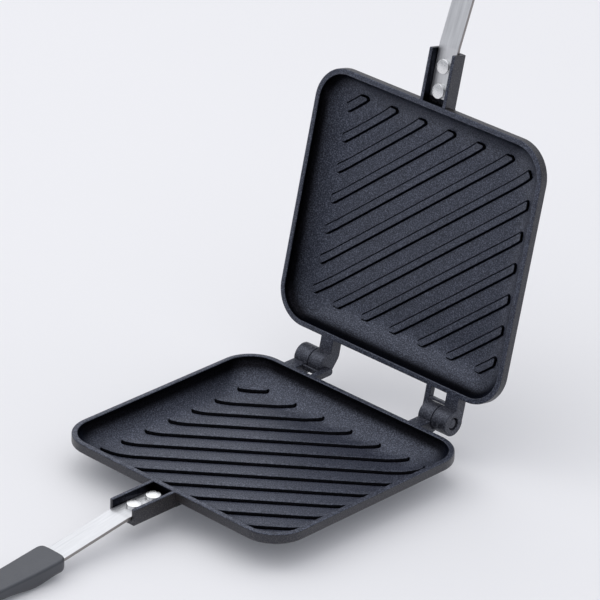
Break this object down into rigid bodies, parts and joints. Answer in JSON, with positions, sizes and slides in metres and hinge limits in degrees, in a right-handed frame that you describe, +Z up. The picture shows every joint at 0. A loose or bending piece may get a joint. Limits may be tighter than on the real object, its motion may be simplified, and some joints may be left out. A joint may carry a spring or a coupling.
{
  "type": "pie iron",
  "caption": "Hot sandwich press for an open flame: hinged square pans with diagonal ribs inside, long handles and a wire bail that holds them shut.",
  "frame": {"origin": "centre of the flat underside of the lower pan, which the press stands on", "axes": "+Z up, +X to the right along the hinge, -Y towards the grips; drawn standing open at its hinge stop"},
  "size_m": [0.145, 0.434, 0.3417],
  "materials": {
    "pan_coating": "cast aluminium under a dark grey non-stick coating with a fine satin grain",
    "strip_steel": "satin stainless strip",
    "rivet_metal": "bright, lightly worn",
    "grip_plastic": "dark grey moulded heat-resistant plastic, satin",
    "screw_steel": "plain zinc-plated",
    "bail_wire": "bright plated spring wire"
  },
  "bodies": {
    "lower": {"lower_pan": "pan_coating", "lower_tang": "strip_steel", "lower_rivet_rear": "rivet_metal", "lower_rivet_front": "rivet_metal", "lower_grip": "grip_plastic", "lower_grip_screw_front": "screw_steel", "lower_grip_screw_rear": "screw_steel"},
    "upper": {"upper_pan": "pan_coating", "upper_tang": "strip_steel", "upper_rivet_rear": "rivet_metal", "upper_rivet_front": "rivet_metal", "upper_grip": "grip_plastic", "upper_grip_screw_front": "screw_steel", "upper_grip_screw_rear": "screw_steel"},
    "bail": {"bail": "bail_wire"}
  },
  "joints": [
    {"name": "pan_hinge", "type": "hinge", "parent": "lower", "child": "upper", "pos_m": [0, 0.0785, 0.018], "axis": [1, 0, 0], "range_deg": [0, 101.8]},
    {"name": "bail_swing", "type": "hinge", "parent": "lower", "child": "bail", "pos_m": [0, -0.2361, 0.0048], "axis": [-1, 0, 0], "range_deg": [0, 114]}
  ]
}
